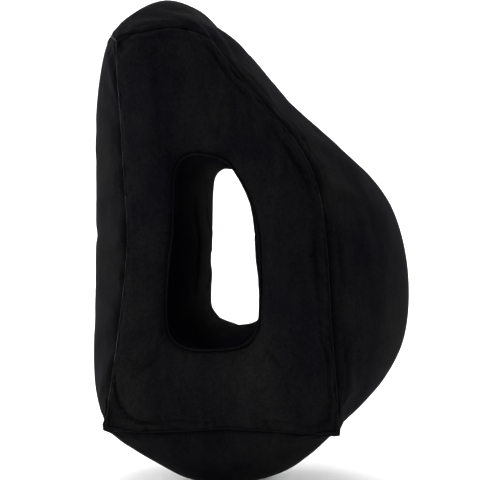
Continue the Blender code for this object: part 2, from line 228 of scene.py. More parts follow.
def distance_to_seam(points):
    """Shortest way to the side seam, and a smoother one that rounds the corners."""
    edge = np.roll(SEAM, -1, axis=0) - SEAM
    arm = points[:, None, :] - SEAM[None]
    share = np.clip((arm * edge).sum(2) / (edge ** 2).sum(1), 0, 1)
    exact = norm(arm - share[:, :, None] * edge, axis=2).min(axis=1)
    middle = SEAM + edge / 2
    far = norm(points[:, None, :] - middle[None], axis=2)
    smooth = np.sqrt(2 / (SEAM_STEP[None] / far ** 3).sum(axis=1))
    return exact + (smooth - exact) * ramp(exact, *SMOOTH_FROM)


def ring_surface(side):
    """A side panel: from the seam loop inwards to the tunnel mouth, bulging outwards."""
    share = 0.5 - 0.5 * np.cos(np.linspace(0, 1, RING_ROWS + 1) * math.pi)
    flat = SEAM[:, None] + (MOUTH - SEAM)[:, None] * share[None, :, None]
    puff = np.zeros(flat.shape[:2])
    corners = [SEAM[FIRST[name]] for name in ("front", "base", "back")]
    for row in range(RING_ROWS + 1):
        to_seam = distance_to_seam(flat[:, row])
        to_mouth = np.maximum(norm(flat[:, row] - MOUTH, axis=1) - MOUTH_MARGIN, 0)
        width = np.maximum(to_seam + to_mouth, 0.001)
        rise = PANEL_PUFF * width * (4 * to_seam * to_mouth / width ** 2) ** PANEL_FULLNESS
        for corner, reach in zip(corners, CORNER_ROUND):
            away = norm(flat[:, row] - corner, axis=1)
            rise = rise * (1 - np.exp(-(away / reach) ** 3))
        puff[:, row] = rise
    return np.stack((flat[:, :, 0], side * (HALF_WIDTH + puff), flat[:, :, 1]), axis=2)


def sleeve_surface():
    """The tunnel's wall: the air bows it inwards between its two mouths and rounds it at its waist."""
    y = HALF_WIDTH * np.linspace(-1, 1, SLEEVE_ROWS + 1)
    bow = WAIST_ENDS + (WAIST_FLATS - WAIST_ENDS) * np.abs(np.cos(COLUMN_ANGLE))
    bow -= CROWN_EASE * bell(COLUMN_ANGLE - CROWN_ANGLE, CROWN_SPREAD)
    heel = HEEL_BOW * bell(turn_from(COLUMN_ANGLE, HEEL_ANGLE), HEEL_SPREAD)
    out = (y / HALF_WIDTH)[None]
    inward = bow[:, None] * (1 - out ** 2) + heel[:, None] * (1 - out ** 8)
    waist = MOUTH.copy()
    for _ in range(WAIST_ROUNDING):
        waist = (np.roll(waist, 1, axis=0) + 2 * waist + np.roll(waist, -1, axis=0)) / 4
    share = (1 - out ** 4)[:, :, None]
    flat = MOUTH[:, None] * (1 - share) + waist[:, None] * share - RAY[:, None] * inward[:, :, None]
    return np.stack((flat[:, :, 0], np.broadcast_to(y[None], flat.shape[:2]), flat[:, :, 1]), axis=2)


# The whole film is one closed grid.  Each column is a loop: wall, left panel, sleeve, right panel.
LEFT_SEAM = STRIP_ROWS
LEFT_MOUTH = LEFT_SEAM + RING_ROWS
RIGHT_MOUTH = LEFT_MOUTH + SLEEVE_ROWS
LOOP_ROWS = RIGHT_MOUTH + RING_ROWS
WELDED_ROWS = [0, LEFT_SEAM, LEFT_MOUTH, RIGHT_MOUTH]
WALL = slice(0, LEFT_SEAM + 1)
SLEEVE = slice(LEFT_MOUTH, RIGHT_MOUTH + 1)


def bladder_surface():
    wall = np.concatenate([strip_surface(name)[:-1] for name in SECTIONS])
    left, right = ring_surface(1), ring_surface(-1)
    sleeve = sleeve_surface()[:, ::-1]
    return np.concatenate((wall, left[:, 1:], sleeve[:, 1:], right[:, -2:0:-1]), axis=1)


def grid_normals(points):
    """Unit normals of the closed grid, pointing out of the film."""
    along_seam = np.roll(points, -1, axis=0) - np.roll(points, 1, axis=0)
    across = np.roll(points, -1, axis=1) - np.roll(points, 1, axis=1)
    normal = np.cross(along_seam, across)
    normal /= np.maximum(norm(normal, axis=2, keepdims=True), 1e-12)
    top = normal[FIRST["front"] + COLUMNS // 12, STRIP_ROWS // 2]
    return normal if top[2] > 0 else -normal


OUTSIDE = -1  # Solidify's offset that keeps the given surface as the outer one


# ---- Mesh building ----
def linked(name, data):
    """A new object in the scene."""
    obj = bpy.data.objects.new(name, data)
    scene.collection.objects.link(obj)
    return obj


def mesh_from(shape, name):
    mesh = bpy.data.meshes.new(name)
    shape.to_mesh(mesh)
    shape.free()
    mesh.shade_smooth()
    return mesh


def grid_mesh(name, points, closed, keep=None, pressed=None):
    """Quads over an array of points; closed joins the last column to the first, keep picks quads by their
    centres, and the last argument is the painted shade at each point, darker in grooves and folds."""
    columns, rows = points.shape[:2]
    index = np.arange(columns * rows).reshape(columns, rows)
    near = index if closed else index[:-1]
    far = np.roll(index, -1, axis=0) if closed else index[1:]
    quads = np.stack((near[:, :-1], far[:, :-1], far[:, 1:], near[:, 1:]), axis=-1).reshape(-1, 4)
    flat = points.reshape(-1, 3)
    if keep is not None:
        used, quads = np.unique(quads[keep(flat[quads].mean(axis=1))], return_inverse=True)
        quads = quads.reshape(-1, 4)
        flat, pressed = flat[used], pressed.ravel()[used]
    mesh = bpy.data.meshes.new(name)
    mesh.from_pydata(flat.tolist(), [], quads.tolist())
    # The painted shade is kept on the mesh as a point attribute, which the flock material reads.
    if pressed is not None:
        mesh.attributes.new("pressed", "FLOAT", "POINT").data.foreach_set("value", pressed.ravel())
    mesh.shade_smooth()
    mesh.update()
    return mesh


def thickened(obj, thickness, offset=0.0):
    solid = obj.modifiers.new("Film", "SOLIDIFY")
    solid.thickness = thickness
    solid.offset = offset


def piece(name, mesh, material, body, node, slot, centre=(0, 0, 0)):
    """A visible piece; it stands for a CAD node, unless it is only a line on a panel."""
    mesh.materials.append(material)
    obj = linked(name, mesh)
    obj.location = centre
    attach(obj, body)
    if node:
        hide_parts(node)
    return obj


def film(name, points, closed, node, material, **extra):
    """A flocked panel, blown up nearly tight."""
    obj = piece(name, grid_mesh(name, points, closed, **extra), material, "shell", node, "flocked_film")
    thickened(obj, FILM, OUTSIDE)


def weld(name, points, closed, node, material, thickness=WELD_FILM):
    """A ribbon of film squeezed flat."""
    obj = piece(name, grid_mesh(name, points, closed), material, "shell", node, "welded_seam")
    thickened(obj, thickness)


# ---- Inflation: cloth simulation of the whole bladder, welded edges held still ----
SIM_STRIDE = 2  # the simulated grid has every second column and row
SIM_FRAMES = 24
SIM_CAP = 0.006  # the most that is taken from it, at any point
SIM_SETTINGS = {
    "quality": 6, "mass": 0.3, "tension_stiffness": 35, "compression_stiffness": 35,
    "shear_stiffness": 15, "bending_stiffness": 0.4, "tension_damping": 8, "compression_damping": 8,
    "air_damping": 3, "use_pressure": True, "uniform_pressure_force": 4.5, "vertex_group_mass": "hold",
    "shrink_min": -0.045,  # there is this much more film than the smooth surface needs
}
RESTING_HEIGHT = 0.003  # film below this stands on the floor, and is held still
DETAIL_PASSES = 26  # smoothing passes that tell folds from overall swelling
# How much of the simulated detail each part shows; a panel's share runs from its seam to the mouth.
WALL_MIDDLE_LOSS, SLEEVE_SHARE, PANEL_SHARE = 0.7, 0.22, (0.75, 0.45)


def inflate(points):
    """How far the air moves each point of the grid, from a coarser copy run as Blender cloth."""
    coarse = points[::SIM_STRIDE, ::SIM_STRIDE]
    columns, rows = coarse.shape[:2]
    index = np.arange(columns * rows).reshape(columns, rows)
    far, up = np.roll(index, -1, axis=0), np.roll(index, -1, axis=1)
    quads = np.stack((index, far, np.roll(far, -1, axis=1), up), axis=-1).reshape(-1, 4)
    mesh = bpy.data.meshes.new("bladder_sim")
    mesh.from_pydata(coarse.reshape(-1, 3).tolist(), [], quads.tolist())
    shape = bmesh.new()
    shape.from_mesh(mesh)
    bmesh.ops.recalc_face_normals(shape, faces=shape.faces)
    if shape.calc_volume(signed=True) < 0:
        bmesh.ops.reverse_faces(shape, faces=shape.faces)
    shape.to_mesh(mesh)
    shape.free()
    obj = linked("bladder_sim", mesh)
    hold = obj.vertex_groups.new(name="hold")
    held = index[:, [row // SIM_STRIDE for row in WELDED_ROWS]].reshape(-1).tolist()
    for first in FIRST.values():
        held += index[first // SIM_STRIDE, :STRIP_ROWS // SIM_STRIDE + 1].tolist()
    resting = coarse[:, :, 2].reshape(-1) < RESTING_HEIGHT
    hold.add(sorted(set(held) | set(np.flatnonzero(resting).tolist())), 1.0, "REPLACE")
    cloth = obj.modifiers.new("Cloth", "CLOTH")
    for setting, value in SIM_SETTINGS.items():
        setattr(cloth.settings, setting, value)
    cloth.settings.effector_weights.gravity = 0
    cloth.point_cache.frame_start = 1
    cloth.point_cache.frame_end = SIM_FRAMES
    for number in range(1, SIM_FRAMES + 1):
        scene.frame_set(number)
    shaped = obj.evaluated_get(bpy.context.evaluated_depsgraph_get()).to_mesh()
    moved = np.zeros(columns * rows * 3, np.float32)
    shaped.vertices.foreach_get("co", moved)
    scene.frame_set(1)
    bpy.data.objects.remove(obj)
    return moved.reshape(columns, rows, 3).astype(float) - coarse


def softened(field, passes, held):
    """The field smoothed over the closed grid, with held rows kept at zero."""
    for _ in range(passes):
        field = (np.roll(field, 1, axis=0) + 2 * field + np.roll(field, -1, axis=0)) / 4
        field = (np.roll(field, 1, axis=1) + 2 * field + np.roll(field, -1, axis=1)) / 4
        field[:, held] = 0
    return field


def finer(field):
    """A field on the coarse grid, read at every column and row of the fine one."""
    for axis in (0, 1):
        halfway = (field + np.roll(field, -1, axis=axis)) / 2
        shape = list(field.shape)
        shape[axis] *= 2
        field = np.stack((field, halfway), axis=axis + 1).reshape(shape)
    return field


def cloth_detail(points):
    """What the simulated air adds: folds and fullness near the welds, without the overall swelling."""
    moved = inflate(points)
    detail = moved - softened(moved.copy(), DETAIL_PASSES, [row // SIM_STRIDE for row in WELDED_ROWS])
    size = np.maximum(norm(detail, axis=2, keepdims=True), 1e-9)
    detail *= SIM_CAP * np.tanh(size / SIM_CAP) / size
    detail = softened(finer(detail), 1, WELDED_ROWS)
    middle = 1 - (points[:, :, 1] / HALF_WIDTH) ** 2
    share = np.ones(points.shape[:2])
    share[:, :LEFT_SEAM] = 1 - WALL_MIDDLE_LOSS * middle[:, :LEFT_SEAM]
    share[:, LEFT_MOUTH:RIGHT_MOUTH] = SLEEVE_SHARE
    share[:, LEFT_SEAM:LEFT_MOUTH] = np.linspace(*PANEL_SHARE, RING_ROWS)
    share[:, RIGHT_MOUTH:] = np.linspace(*PANEL_SHARE[::-1], RING_ROWS)
    return detail * share[:, :, None]


# ---- Fine relief: puckers, ridges and creases along the welds ----
# Creases on a side panel, millimetres: from x, z to x, z, height (below 0 a fold), half width.
CREASES = np.array([
    (-118, 262, -98, 258, 1.2, 3), (-112, 452, -85, 459, 1.4, 1.6), (-110, 446, -88, 454.5, 1.3, 1.6),
    (-83, 440, -71, 450, -1.2, 2), (4, 405, 40, 352, 1, 3), (30, 160, 52, 134, -1.4, 3.4),
    (-70, 150, -94, 128, -1.2, 3.4), (60, 300, 74, 250, 1, 3),
]) / 1000
# Where the taut part of a side panel starts inside a bottom corner: how marked that is, and its path
# from the corner, in millimetres.  The film outside this line lies in a low fold.
CORNER_FOLDS = {
    "back": (1.0, ((7.5, 62), (9.5, 41), (13, 24), (21, 11.5), (35, 6.2), (70, 4.8))),
    "base": (0.4, ((-38, 4), (-24, 4.8), (-13, 7.5), (-7.5, 14), (-6.2, 26), (-6, 48))),
}
FOLD_DEPTH, FOLD_WIDTH = 0.0030, 0.0021
FOLD_RIM, FOLD_RIM_PEAK = 0.0016, 0.006  # the rise beside a fold, on its taut side
# How strong a panel's long ridges are beside the front, base and back; they grow from the top corner on.
RIDGE_SHARE = np.choose(np.searchsorted([FIRST["base"], FIRST["back"]], np.arange(COLUMNS), side="right"),
                        (1.35, 0.6, 0.3)) * (0.35 + 0.65 * ramp(SEAM_AT, 0.05, 0.11))
# How far the wall sinks along the back, and near the weld that starts a section, over what distance.
BACK_SINK = 0.0010
WELD_SINKS = {"front": (0.0022, 0.060), "base": (0.0, 0.060), "back": (0.0032, 0.045)}
SINK_START = 0.014
# Beside a weld between two strips: its furrow, the gathers square to it, and where both start.
FURROW_DEPTH, FURROW_REACH = 0.0020, 0.0045
GATHER_HEIGHT, GATHER_LENGTH, GATHER_PEAK, GATHER_LEAN = 0.0008, 0.016, 0.006, 0.3
OFF_SEAM = 0.010
# Grooves where the back webs hold the wall and the sleeve, and the sleeve's part that faces the back.
WEB_GROOVE, WEB_GROOVE_WIDTH = 0.0034, 0.009
SLEEVE_GROOVE, SLEEVE_GROOVE_WIDTH = 0.0012, 0.006
SLEEVE_BACK, WEB_ANGLE = (math.radians(115), math.radians(130)), math.radians(125)
# The sleeve's overlap: its step, the turns where it starts, is full, fades and ends, and its taper.
LAP_STEP, LAP_TURNS, LAP_TAPER = 0.0005, (-0.030, 0.0, 0.11, 0.20), 0.004


def waves(places, total, length, count=6):
    """Uneven waves that close on themselves over the total."""
    value = 0
    for _ in range(count):
        turns = round(total / (length * rng.uniform(0.65, 1.45)))
        value = value + np.sin(2 * math.pi * turns * places / total + rng.uniform(0, 2 * math.pi))
    return value / math.sqrt(count)


def row_ways(points, first, last):
    """Way along each column over the rows from first to last, from the one and from the other."""
    span = points[:, np.arange(first, last + 1) % LOOP_ROWS]
    step = norm(np.diff(span, axis=1), axis=2)
    way = np.concatenate((np.zeros((len(points), 1)), np.cumsum(step, axis=1)), axis=1)
    return way, way[:, -1:] - way


def side_panels(points):
    """For each side panel its rows, and the way to their points from its seam and from its mouth."""
    for first, last, order in ((LEFT_SEAM, LEFT_MOUTH, 1), (RIGHT_MOUTH, LOOP_ROWS, -1)):
        yield np.arange(first, last + 1) % LOOP_ROWS, *row_ways(points, first, last)[::order]


def from_cross_weld(points, first):
    """Way from the weld between two strips to each point of the wall."""
    return norm(points[:, WALL] - points[first, WALL][None], axis=2)


def pucker(away, height, length=0.011, peak=0.0045):
    """Short waves square to a weld, in uneven groups, leaning a little as they fade."""
    place = SEAM_AT[:, None] + rng.uniform(-0.4, 0.4) * away
    groups = np.clip(0.55 + 0.5 * waves(SEAM_AT[:, None], SEAM_LENGTH, 0.08, 3), 0.08, 1.2)
    return height * bead(away, peak) * groups * waves(place, SEAM_LENGTH, length)


def ridges(away, height, first, gap, width=0.0019):
    """Long folds that run beside a weld, weaker along the back: a ridge, a furrow and a lower ridge."""
    drift = 0.0014 * waves(SEAM_AT[:, None], SEAM_LENGTH, 0.11, 4)
    groups = np.clip(0.65 + 0.45 * waves(SEAM_AT[:, None], SEAM_LENGTH, 0.13, 3), 0.15, 1.2)
    value = 0
    for number, share in enumerate((1.0, -0.9, 0.7)):
        value = value + share * bell(away - first - drift - gap * number, width)
    return height * RIDGE_SHARE[:, None] * groups * value


def to_segment(flat, start, way):
    """Place along a straight line, 0 to 1, nearest to each point, and the distance from there."""
    share = np.clip(((flat - start) @ way) / (way @ way), 0, 1)
    return share, norm(flat - start - share[..., None] * way, axis=2)


def corner_folds(flat):
    """Way from the nearest corner fold, positive on its taut side, and the fold's strength there."""
    way = np.full(flat.shape[:2], 1.0)
    strength = np.zeros(flat.shape[:2])
    for name, (marked, path) in CORNER_FOLDS.items():
        spots = SEAM[FIRST[name]] + np.array(path) / 1000
        for number, (start, end) in enumerate(zip(spots, spots[1:])):
            edge, arm = end - start, flat - start
            share, off = to_segment(flat, start, edge)
            side = np.sign(edge[0] * arm[..., 1] - edge[1] * arm[..., 0])
            nearer = off < np.abs(way)
            way = np.where(nearer, side * off, way)
            along_path = (number + share) / (len(spots) - 1)
            fading = np.clip(np.minimum(along_path, 1 - along_path) * 5, 0, 1)
            strength = np.where(nearer, marked * fading, strength)
    return way, strength


def creases(flat):
    """Height of the single creases at points x, z of a side panel."""
    height = np.zeros(flat.shape[:2])
    for x0, z0, x1, z1, rise, half_width in CREASES:
        share, off = to_segment(flat, np.array((x0, z0)), np.array((x1 - x0, z1 - z0)))
        taper = np.sin(math.pi * np.clip(share, 0.02, 0.98)) ** 0.6
        height += rise * taper * bell(off, half_width)
    return height


def back_web_lines(wall):
    """Way sideways from the nearer back web's line, and how much of a line there is at that height."""
    z = wall[:, :, 2]
    low, high = WEB_Z
    there = ON_BACK * plateau(z, low - 0.01, low + 0.02, high - 0.02, high + 0.01)
    return np.abs(wall[:, :, 1]) - WEB_Y, there


def relief(points):
    """Height of the fine relief over the whole grid, along its normals."""
    height = np.zeros(points.shape[:2])
    wall, sleeve = height[:, WALL], height[:, SLEEVE]
    y = points[:, WALL, 1]
    from_seams = row_ways(points, 0, LEFT_SEAM)
    for away in from_seams:
        wall += pucker(away, height=0.0005) + ridges(away, height=0.0007, first=0.0090, gap=0.0050)
    off_seams = ramp(np.minimum(*from_seams), 0.0, OFF_SEAM)
    middle = 1 - (y / HALF_WIDTH) ** 4
    wall -= BACK_SINK * middle * ON_BACK
    for name, first in FIRST.items():
        away = from_cross_weld(points, first)
        sink, reach = WELD_SINKS[name]
        wall -= sink * middle * bell(away, reach) * ramp(away, 0.0, SINK_START)
        gathers = waves(y + GATHER_LEAN * away, 4 * HALF_WIDTH, GATHER_LENGTH)
        wall += off_seams * (GATHER_HEIGHT * bead(away, GATHER_PEAK) * gathers
                             - FURROW_DEPTH * np.exp(-away / FURROW_REACH))
    away, webbed = back_web_lines(points[:, WALL])
    wall -= WEB_GROOVE * webbed * bell(away, WEB_GROOVE_WIDTH)

    for rows, seam_way, mouth_way in side_panels(points):
        mouth_way = np.maximum(mouth_way - MOUTH_MARGIN, 0)
        height[:, rows] += (pucker(seam_way, height=0.0008)
                            + ridges(seam_way, height=0.0014, first=0.0080, gap=0.0052)
                            + pucker(mouth_way, height=0.0004, length=0.016))
        flat = points[:, rows][:, :, ::2]
        height[:, rows] += creases(flat)
        way, strength = corner_folds(flat)
        height[:, rows] += strength * (FOLD_RIM * bead(np.maximum(way, 0), FOLD_RIM_PEAK)
                                       - FOLD_DEPTH * bell(way, FOLD_WIDTH))

    out = np.abs(points[:, SLEEVE, 1])
    for away in row_ways(points, LEFT_MOUTH, RIGHT_MOUTH):
        sleeve += pucker(away, height=0.0007, length=0.017, peak=0.007)
    facing_back = ramp(np.abs(COLUMN_ANGLE), *SLEEVE_BACK)[:, None]
    sleeve -= SLEEVE_GROOVE * facing_back * bell(out - WEB_Y, SLEEVE_GROOVE_WIDTH)
    lap = plateau(turn_from(COLUMN_ANGLE, LAP_ANGLE), *LAP_TURNS)
    sleeve += LAP_STEP * lap[:, None] * ramp(HALF_WIDTH - out, 0.0, LAP_TAPER)
    return height


# Painted shade, 0 to 1, that darkens the flock where shade falls, and how fast it fades: on the wall by a
# side seam, the same along the back, over a web, by a cross weld; on a panel by its seam, by the mouth and
# in a corner fold.
GROOVE_SHADE = {"wall": (0.9, 0.0060), "back": (0.9, 0.0100), "web": (0.75, 0.0045), "cross": (0.7, 0.0045),
           "seam": (0.75, 0.0030), "mouth": (0.8, 0.0042), "fold": (0.85, 0.0020)}
# Painted shade in other hollows of the relief: the share, and the depth below the smoothed relief where it
# is full.
HOLLOW_SHARE, HOLLOW_FULL, HOLLOW_PASSES = 0.38, 0.0007, 8


def groove_shading(points, height):
    """Painted shade, from 0 to 1: darker colour beside the welds and down in the folds and hollows, where
    shade falls.
    """
    hollow = softened(height.copy(), HOLLOW_PASSES, []) - height
    pressed = HOLLOW_SHARE * np.clip(hollow / HOLLOW_FULL, 0, 1)

    def press(rows, kind, away, share=1.0):
        most, width = GROOVE_SHADE[kind]
        pressed[:, rows] = np.maximum(pressed[:, rows], most * share * bell(away, width))

    away = np.minimum(*row_ways(points, 0, LEFT_SEAM))
    press(WALL, "wall", away, ~ON_BACK)
    press(WALL, "back", away, ON_BACK)
    press(WALL, "web", *back_web_lines(points[:, WALL]))
    for first in FIRST.values():
        press(WALL, "cross", from_cross_weld(points, first))
    for rows, seam_way, mouth_way in side_panels(points):
        press(rows, "seam", seam_way)
        press(rows, "mouth", mouth_way)
        press(rows, "fold", *corner_folds(points[:, rows][:, :, ::2]))
    return pressed


# ---- Valve seat: the left panel lies flat under the valve's disc ----
SEAT_FLAT = 0.0235
SEAT_BLEND = 0.043
SEAT_HOLE = 0.0145
DISC_THICKNESS = 0.0014


def seat_valve(panel):
    """Levels the left panel under the valve's welded disc."""
    away = np.hypot(panel[:, :, 0] - VALVE_X, panel[:, :, 2] - VALVE_Z)
    share = 1 - ramp(away, SEAT_FLAT, SEAT_BLEND)
    level = VALVE_FACE_Y - DISC_THICKNESS - 0.0002
    panel[:, :, 1] += share * (level - panel[:, :, 1])
    return panel


def outside_valve_hole(centres):
    near_side = centres[:, 1] > HALF_WIDTH
    return ~(near_side & (np.hypot(centres[:, 0] - VALVE_X, centres[:, 2] - VALVE_Z) < SEAT_HOLE))


# ---- Materials ----
def node_material(name):
    material = bpy.data.materials.new(name)
    material.use_nodes = True
    tree = material.node_tree
    return material, tree, tree.nodes["Principled BSDF"]


def feed(tree, node, inputs):
    """Sets a node's inputs: a value goes on the socket itself, another node's output is linked to it."""
    for name, value in inputs.items():
        if isinstance(value, bpy.types.NodeSocket):
            tree.links.new(value, node.inputs[name])
        else:
            node.inputs[name].default_value = value
    return node


def noise(tree, scale, detail=2.0, roughness=0.5, stretch=None):
    """Noise in the object's own metres; stretch scales the three axes, which draws it out into strokes."""
    coords = tree.nodes.get("Coords") or tree.nodes.new("ShaderNodeTexCoord")
    coords.name = "Coords"
    place = coords.outputs["Object"]
    if stretch:
        mapping = feed(tree, tree.nodes.new("ShaderNodeMapping"),
                       {"Vector": place, "Scale": stretch, "Rotation": (0.2, 0.5, 0.1)})
        place = mapping.outputs["Vector"]
    node = feed(tree, tree.nodes.new("ShaderNodeTexNoise"),
                {"Vector": place, "Scale": scale, "Detail": detail, "Roughness": roughness})
    return node.outputs["Fac"]


def colour_ramp(tree, source, *stops):
    """The source's value as a colour, between two stops of (place, colour)."""
    node = feed(tree, tree.nodes.new("ShaderNodeValToRGB"), {"Fac": source})
    for element, (place, colour) in zip(node.color_ramp.elements, stops):
        element.position = place
        element.color = (*colour, 1)
    return node.outputs["Color"]


def multiplied(tree, first, second):
    node = tree.nodes.new("ShaderNodeMixRGB")
    node.blend_type = "MULTIPLY"
    return feed(tree, node, {"Fac": 1.0, "Color1": first, "Color2": second}).outputs["Color"]


def bump(tree, height, strength, distance, below=None):
    inputs = {"Height": height, "Strength": strength, "Distance": distance}
    if below:
        inputs["Normal"] = below
    return feed(tree, tree.nodes.new("ShaderNodeBump"), inputs).outputs["Normal"]


def spread(tree, source, low, high):
    """A noise's value stretched to run from low to high."""
    return feed(tree, tree.nodes.new("ShaderNodeMapRange"),
                {"Value": source, "From Min": 0.3, "From Max": 0.7, "To Min": low, "To Max": high}
                ).outputs["Result"]


def flock_material(name, dark, light, sheen):
    """Short black flock: nearly no gloss, a pale sheen at grazing angles, brushed patches and fibre grain,
    and painted shade from the mesh's shade attribute, darkening it in the grooves beside the welds and in
    the folds."""
    material, tree, surface = node_material(name)
    patches = noise(tree, 11, 4, 0.55)
    strokes = noise(tree, 30, 5, 0.65, (1.0, 1.0, 0.22))
    speckle = noise(tree, 420, 4, 0.7)
    shade_attribute = tree.nodes.new("ShaderNodeAttribute")
    shade_attribute.attribute_name = "pressed"
    colour = colour_ramp(tree, patches, (0.36, dark), (0.64, light))
    # The last ramp is painted shade: the shade attribute darkens the colour to about a sixth in grooves and
    # folds.
    for source, low, high in ((strokes, (0.32, (0.52, 0.51, 0.58)), (0.68, (1.0, 1.0, 0.97))),
                              (speckle, (0.38, (0.55, 0.55, 0.58)), (0.64, (1.0, 1.0, 1.0))),
                              (shade_attribute.outputs["Fac"], (0.0, (1.0, 1.0, 1.0)), (1.0, (0.16, 0.15, 0.18)))):
        colour = multiplied(tree, colour, colour_ramp(tree, source, low, high))
    normal = bump(tree, noise(tree, 55, 4, 0.6, (1.0, 1.0, 0.3)), 0.25, 0.0030)
    normal = bump(tree, noise(tree, 480, 3), 0.35, 0.0006, normal)
    normal = bump(tree, noise(tree, 2400), 0.5, 0.0003, normal)
    feed(tree, surface, {
        "Base Color": colour, "Roughness": spread(tree, patches, 0.78, 0.94), "Normal": normal,
        "Specular IOR Level": 0.03, "IOR": 1.12,
        "Sheen Weight": sheen, "Sheen Roughness": 0.19, "Sheen Tint": (0.78, 0.80, 0.88, 1)})
    return material


def weld_material(name, dark, light):
    """Flock squeezed flat by the weld: smoother than the pile around it, worn a little paler in places."""
    material, tree, surface = node_material(name)
    worn = noise(tree, 90, 4)
    normal = bump(tree, noise(tree, 240), 0.3, 0.0006)
    feed(tree, surface, {
        "Base Color": colour_ramp(tree, worn, (0.35, dark), (0.75, light)),
        "Roughness": spread(tree, worn, 0.48, 0.66),
        "Normal": bump(tree, noise(tree, 900, 3), 0.4, 0.0003, normal),
        "Specular IOR Level": 0.08, "IOR": 1.25, "Sheen Weight": 0.006, "Sheen Roughness": 0.36})
    return material


def moulded_material(name, dark, light, roughness, grain_scale, grain_depth, specular=0.5):
    """Moulded plastic or rubber: faint mottling, a fine mould texture and slightly varied gloss."""
    material, tree, surface = node_material(name)
    rubbed = noise(tree, 260, 4, 0.6)
    normal = bump(tree, noise(tree, grain_scale), 0.4, grain_depth)
    feed(tree, surface, {
        "Base Color": colour_ramp(tree, noise(tree, 120, 3), (0.3, dark), (0.7, light)),
        "Roughness": spread(tree, rubbed, roughness - 0.06, roughness + 0.10),
        "Normal": bump(tree, rubbed, 0.2, 0.0004, normal),
        "Specular IOR Level": specular})
    return material


FLOCK = flock_material("flock", (0.0062, 0.0060, 0.0076), (0.0098, 0.0098, 0.0098), 0.022)
# Painted shade: a copy of the flock several times darker and nearly without sheen, for the tunnel's lining
# and web lines, where shade falls inside the tunnel.
FLOCK_SHADED = flock_material("flock_painted_shade", (0.0013, 0.0011, 0.0029), (0.0026, 0.0023, 0.0043), 0.002)
WELD = weld_material("weld", (0.0026, 0.0025, 0.0034), (0.0044, 0.0044, 0.0048))
BARE = moulded_material("bare_film", (0.020, 0.020, 0.023), (0.034, 0.034, 0.038), 0.42, 700, 0.0002)
VINYL = moulded_material("soft_vinyl", (0.005, 0.005, 0.006), (0.009, 0.009, 0.010), 0.52, 1800, 0.00015,
                         0.18)
PLASTIC = moulded_material("valve_plastic", (0.008, 0.008, 0.009), (0.012, 0.012, 0.014), 0.40, 2600, 0.0001,
                           0.35)
RUBBER = moulded_material("flap_rubber", (0.16, 0.16, 0.165), (0.22, 0.22, 0.225), 0.6, 1500, 0.00015, 0.35)


# ---- Valve: turned pieces with rounded edges, each on its own body ----
TURN_STEPS = 96


def rounded(corners, radius, steps=3):
    """A closed outline with its corners cut round, apart from those on the axis."""
    result = []
    for number, corner in enumerate(corners):
        if corner[0] <= 0:
            result.append(corner)
            continue
        arms = [other - corner for other in (corners[number - 1], corners[(number + 1) % len(corners)])]
        cut = min(radius, min(norm(arm) for arm in arms) * 0.48)
        start, end = (corner + arm / norm(arm) * cut for arm in arms)
        for share in np.linspace(0, 1, steps + 1):
            result.append((1 - share) ** 2 * start + 2 * share * (1 - share) * corner + share ** 2 * end)
    return result


def turned_piece(name, profile, centre, material, body, node, slot, reach):
    """A profile of (radius, y) turned about Y; reach(angle, radius, y) may move a point elsewhere."""
    angles = np.arange(TURN_STEPS) * 2 * math.pi / TURN_STEPS
    shape = bmesh.new()
    rings = []
    for radius, y in profile:
        if radius <= 1e-6:
            rings.append([shape.verts.new((0, y, 0))] * TURN_STEPS)
            continue
        ring = []
        for angle in angles:
            far, high = (radius, y) if reach is None else reach(angle, radius, y)
            ring.append(shape.verts.new((far * math.cos(angle), high, far * math.sin(angle))))
        rings.append(ring)
    for low, high in zip(rings, rings[1:] + rings[:1]):
        for step in range(TURN_STEPS):
            after = (step + 1) % TURN_STEPS
            corners = []
            for vertex in (low[step], low[after], high[after], high[step]):
                if vertex not in corners:
                    corners.append(vertex)
            if len(corners) >= 3:
                shape.faces.new(corners)
    bmesh.ops.recalc_face_normals(shape, faces=shape.faces)
    solid_piece(name, shape, material, body, node, slot, centre)


def solid_piece(name, shape, material, body, node, slot, centre):
    mesh = mesh_from(shape, name)
    mesh.set_sharp_from_angle(angle=math.radians(50))
    piece(name, mesh, material, body, node, slot, centre)


# Outlines in millimetres: radius, and how far out of the valve's face.
DISC = (
    (21, -1.4), (21, -0.2), (19.8, 0), (19, 0.32), (18.3, 0.05), (17.4, 0.05), (16.7, 0.36), (16, 0.1),
    (14, 0.45), (12.4, 0.9), (12, 2.1), (12, 4), (11.6, 4.8), (8.6, 4.8), (8.2, 4.4), (8.2, -8.6),
    (8.6, -9), (9.6, -9), (10, -8.6), (10.2, -2), (10.8, -1.4))
PLUG = (
    (11.6, 5.2), (11.6, 7), (6.4, 7), (5.8, 6.4), (5, 6.4), (5, -6.2), (4, -6.2), (4, -7.8), (7.8, -7.8),
    (8, -7), (8, -3), (8.08, -2.6), (8.08, -2.2), (8, -1.8), (8, 1), (8.08, 1.4), (8.08, 1.8), (8, 2.2),
    (8, 5.2))
FLAP = ((0, -8.1), (5.2, -8.1), (6.2, -8.3), (6.2, -9.1), (5.8, -9.4), (0, -9.4))
STEM = ((0, -7.9), (0.8, -7.9), (0.8, -0.7), (1.6, -0.6), (1.5, -0.1), (0.9, 0.1), (0, 0.1))
CAP = (
    (0, 1.2), (6, 1.3), (7.2, 1.9), (9.8, 1.9), (10.8, 1.6), (10.8, 0.5), (10.4, 0.3), (4.8, 0.3),
    (4.8, -0.6), (4.6, -1.8), (4.4, -3.2), (4, -3.6), (3, -3.6), (2.8, -2), (0, -2))
CAP_R, TAB_HALF, TAB_END = 0.0108, 0.0035, 0.0170
TAB_DOWN = 1.5 * math.pi
GRIP_RISE, GRIP_STEP = 0.00022, 0.0016  # the small ribs on the tab
NOTCH_DEPTH, NOTCH_COUNT, NOTCH_FROM = 0.00022, 24, 0.0112  # the plug's grip


def scalloped(angle, radius, y):
    """Notches round the plug's widest part."""
    return radius - (NOTCH_DEPTH * (1 + math.cos(NOTCH_COUNT * angle)) if radius > NOTCH_FROM else 0.0), y


